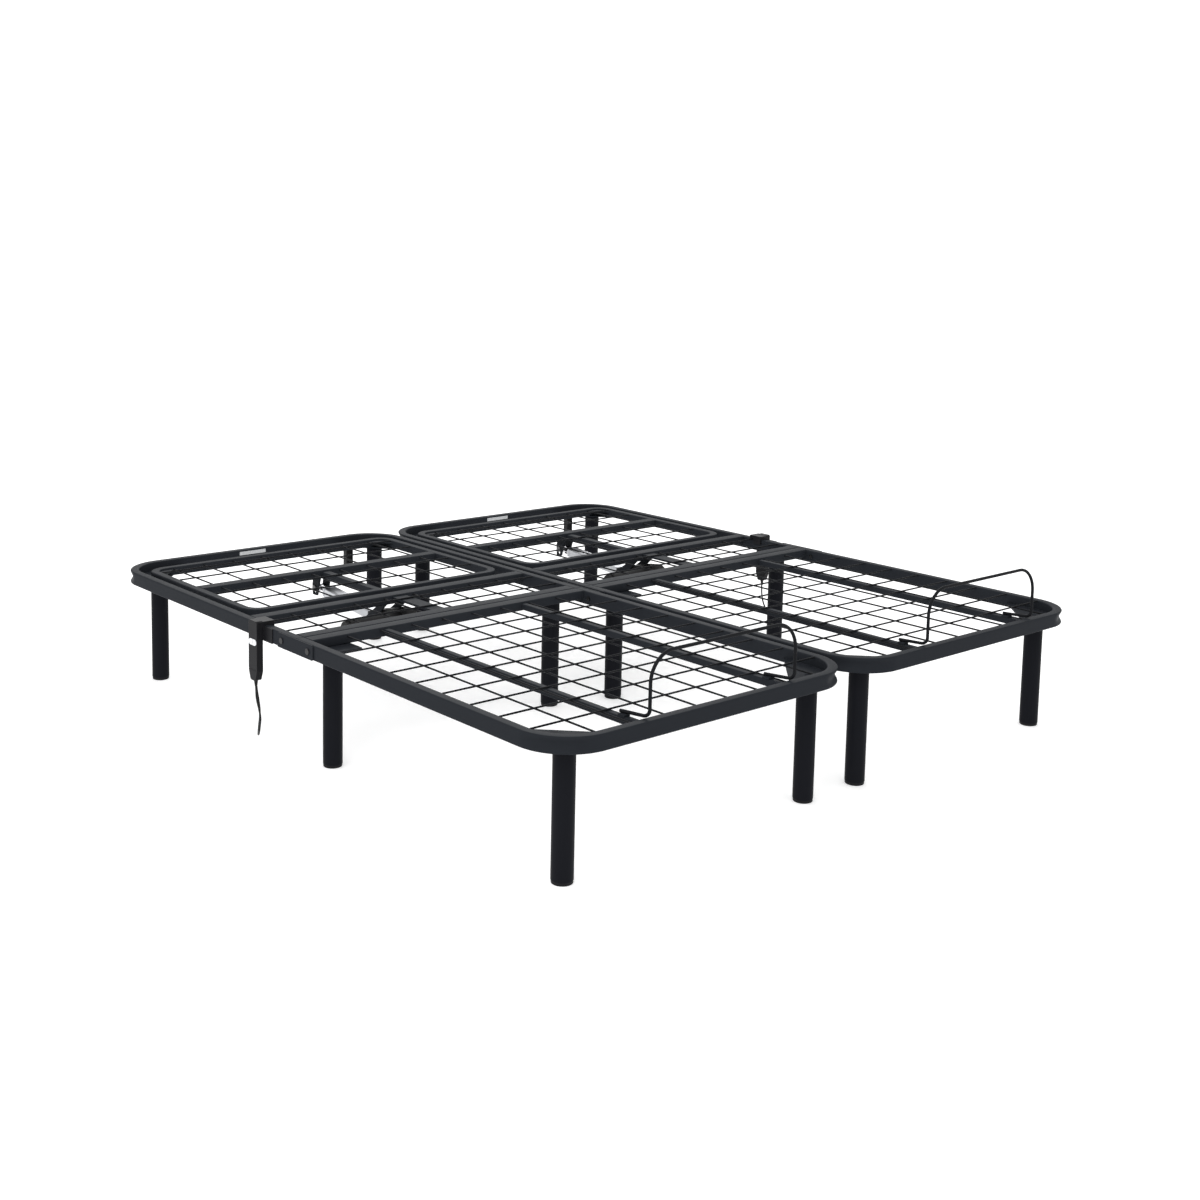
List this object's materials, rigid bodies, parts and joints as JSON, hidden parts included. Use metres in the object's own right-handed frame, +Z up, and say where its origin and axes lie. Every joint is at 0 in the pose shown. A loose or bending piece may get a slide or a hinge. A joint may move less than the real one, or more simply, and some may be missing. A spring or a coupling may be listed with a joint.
{
  "type": "adjustable bed base",
  "caption": "Split adjustable bed base in tubular steel with wire mesh decks, hinged head sections lifted by linear actuators, mattress retainer wires and corded handsets.",
  "frame": {"origin": "centre of the bed's footprint, on the floor", "axes": "+X across the bed, +Y towards the head end, +Z up"},
  "size_m": [1.9514, 2.03, 0.483],
  "materials": {
    "frame_black": "satin black powder coat",
    "wire_black": "satin black powder coat",
    "leg_black": "smooth black powder coat",
    "glide_black": "moulded nylon",
    "zinc": "dark zinc plate",
    "bolt_black": "black oxide",
    "motor_black": "fine texture",
    "anodised": "satin anodised extrusion",
    "rod_steel": "ground steel",
    "handset_black": "fine texture",
    "button_pale": "smooth",
    "cord_black": "smooth jacket"
  },
  "bodies": {
    "base": {"left_foot_frame": "frame_black", "left_foot_mesh": "wire_black", "left_head_frame": "frame_black", "left_mid_mesh": "wire_black", "left_leg_glides": "glide_black", "left_splice_plates": "frame_black", "left_splice_bolts": "bolt_black", "left_retainer_bar": "wire_black", "left_retainer_clips": "frame_black", "left_hinge_pins": "zinc", "left_rear_pin": "zinc", "left_power_supply": "motor_black", "left_handset_holder": "handset_black", "left_handset_front": "handset_black", "left_handset_back": "handset_black", "left_handset_relief": "cord_black", "left_handset_cord": "cord_black", "left_handset_connector": "cord_black", "left_head_legs": "leg_black", "left_middle_legs": "leg_black", "left_foot_legs": "leg_black", "right_foot_frame": "frame_black", "right_foot_mesh": "wire_black", "right_head_frame": "frame_black", "right_mid_mesh": "wire_black", "right_leg_glides": "glide_black", "right_splice_plates": "frame_black", "right_splice_bolts": "bolt_black", "right_retainer_bar": "wire_black", "right_retainer_clips": "frame_black", "right_hinge_pins": "zinc", "right_rear_pin": "zinc", "right_power_supply": "motor_black", "right_handset_holder": "handset_black", "right_handset_front": "handset_black", "right_handset_back": "handset_black", "right_handset_relief": "cord_black", "right_handset_cord": "cord_black", "right_handset_connector": "cord_black", "right_head_legs": "leg_black", "right_middle_legs": "leg_black", "right_foot_legs": "leg_black"},
    "left_deck": {"left_deck_frame": "frame_black", "left_deck_mesh": "wire_black"},
    "left_actuator": {"left_gearbox": "motor_black", "left_motor": "motor_black", "left_actuator_tube": "anodised"},
    "left_rod": {"left_push_rod": "rod_steel", "left_lift_pin": "zinc"},
    "left_up_key": {"left_button_up": "button_pale"},
    "left_down_key": {"left_button_down": "button_pale"},
    "right_deck": {"right_deck_frame": "frame_black", "right_deck_mesh": "wire_black"},
    "right_actuator": {"right_gearbox": "motor_black", "right_motor": "motor_black", "right_actuator_tube": "anodised"},
    "right_rod": {"right_push_rod": "rod_steel", "right_lift_pin": "zinc"},
    "right_up_key": {"right_button_up": "button_pale"},
    "right_down_key": {"right_button_down": "button_pale"}
  },
  "joints": [
    {"name": "left_head_lift", "type": "hinge", "parent": "base", "child": "left_deck", "pos_m": [-0.481, 0.272, 0.319], "axis": [1, 0, 0], "range_deg": [0, 60]},
    {"name": "left_actuator_swing", "type": "hinge", "parent": "base", "child": "left_actuator", "pos_m": [-0.481, 0.31789, 0.25347], "axis": [1, 0, 0], "range_deg": [0, 60]},
    {"name": "left_rod_slide", "type": "slide", "parent": "left_actuator", "child": "left_rod", "axis": [0, 0.9962, 0.0872], "range_m": [0, 0.0801]},
    {"name": "left_up_press", "type": "slide", "parent": "base", "child": "left_up_key", "axis": [1, 0, 0], "range_m": [0, 0.0012], "stiffness_N_per_m": 400},
    {"name": "left_down_press", "type": "slide", "parent": "base", "child": "left_down_key", "axis": [1, 0, 0], "range_m": [0, 0.0012], "stiffness_N_per_m": 400},
    {"name": "right_head_lift", "type": "hinge", "parent": "base", "child": "right_deck", "pos_m": [0.481, 0.272, 0.319], "axis": [1, 0, 0], "range_deg": [0, 60]},
    {"name": "right_actuator_swing", "type": "hinge", "parent": "base", "child": "right_actuator", "pos_m": [0.481, 0.31789, 0.25347], "axis": [1, 0, 0], "range_deg": [0, 60]},
    {"name": "right_rod_slide", "type": "slide", "parent": "right_actuator", "child": "right_rod", "axis": [0, 0.9962, 0.0872], "range_m": [0, 0.0801]},
    {"name": "right_up_press", "type": "slide", "parent": "base", "child": "right_up_key", "axis": [-1, 0, 0], "range_m": [0, 0.0012], "stiffness_N_per_m": 400},
    {"name": "right_down_press", "type": "slide", "parent": "base", "child": "right_down_key", "axis": [-1, 0, 0], "range_m": [0, 0.0012], "stiffness_N_per_m": 400}
  ],
  "couplings": [
    {"joint": "left_actuator_swing", "follows": "left_head_lift", "ratio": 1},
    {"joint": "left_rod_slide", "follows": "left_head_lift", "m_per_rad": 0.076394},
    {"joint": "right_actuator_swing", "follows": "right_head_lift", "ratio": 1},
    {"joint": "right_rod_slide", "follows": "right_head_lift", "m_per_rad": 0.076394}
  ]
}
